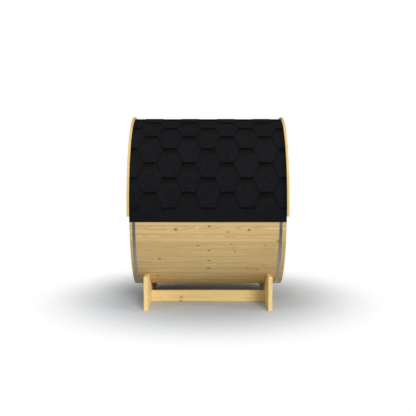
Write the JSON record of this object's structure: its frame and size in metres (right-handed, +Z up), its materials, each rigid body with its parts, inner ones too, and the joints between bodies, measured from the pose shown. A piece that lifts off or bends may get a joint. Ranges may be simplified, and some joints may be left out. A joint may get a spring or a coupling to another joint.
{
  "type": "barrel sauna",
  "caption": "Barrel sauna lying on wooden cradles: a hollow cabin of beaded staves held by steel hoops, with a shingled roof, arched fascias, board end walls and a glazed door.",
  "frame": {"origin": "ground level under the middle of the barrel", "axes": "+Z up, X along the barrel with the door at the +X end, -Y towards the side that the picture shows"},
  "size_m": [1.75, 2.002, 2.151],
  "materials": {
    "cradle_wood": "planed spruce, pale",
    "stave_wood": "planed spruce with knots",
    "hoop_steel": "dull galvanised strip",
    "roof_shingle": "bitumen felt with black mineral grains",
    "fascia_wood": "planed spruce, pale",
    "wall_wood": "planed spruce with knots",
    "door_wood": "planed spruce",
    "door_glass": "clear toughened glass",
    "handle_wood": "oiled hardwood",
    "hinge_steel": "satin stainless steel",
    "floor_wood": "planed spruce"
  },
  "bodies": {
    "root": {"cradle_left": "cradle_wood", "cradle_right": "cradle_wood", "stretcher": "cradle_wood", "bottom_front_staves": "stave_wood", "lower_front_staves": "stave_wood", "upper_front_staves": "stave_wood", "top_front_staves": "stave_wood", "top_rear_staves": "stave_wood", "upper_rear_staves": "stave_wood", "lower_rear_staves": "stave_wood", "bottom_rear_staves": "stave_wood", "hoop_left": "hoop_steel", "hoop_right": "hoop_steel", "roof_front_lower": "roof_shingle", "roof_front_upper": "roof_shingle", "roof_rear_upper": "roof_shingle", "roof_rear_lower": "roof_shingle", "fascia_left": "fascia_wood", "fascia_right": "fascia_wood", "rear_wall": "wall_wood", "door_wall_front": "wall_wood", "door_wall_rear": "wall_wood", "door_wall_head": "wall_wood", "door_wall_sill": "wall_wood", "door_frame": "door_wood", "door_stiles": "door_wood", "door_rails": "door_wood", "door_glass": "door_glass", "door_handle_outside": "handle_wood", "door_handle_inside": "handle_wood", "door_hinges": "hinge_steel", "hoop_bolts": "hinge_steel", "floor_bearers": "floor_wood", "floor_slats": "floor_wood"}
  },
  "joints": []
}
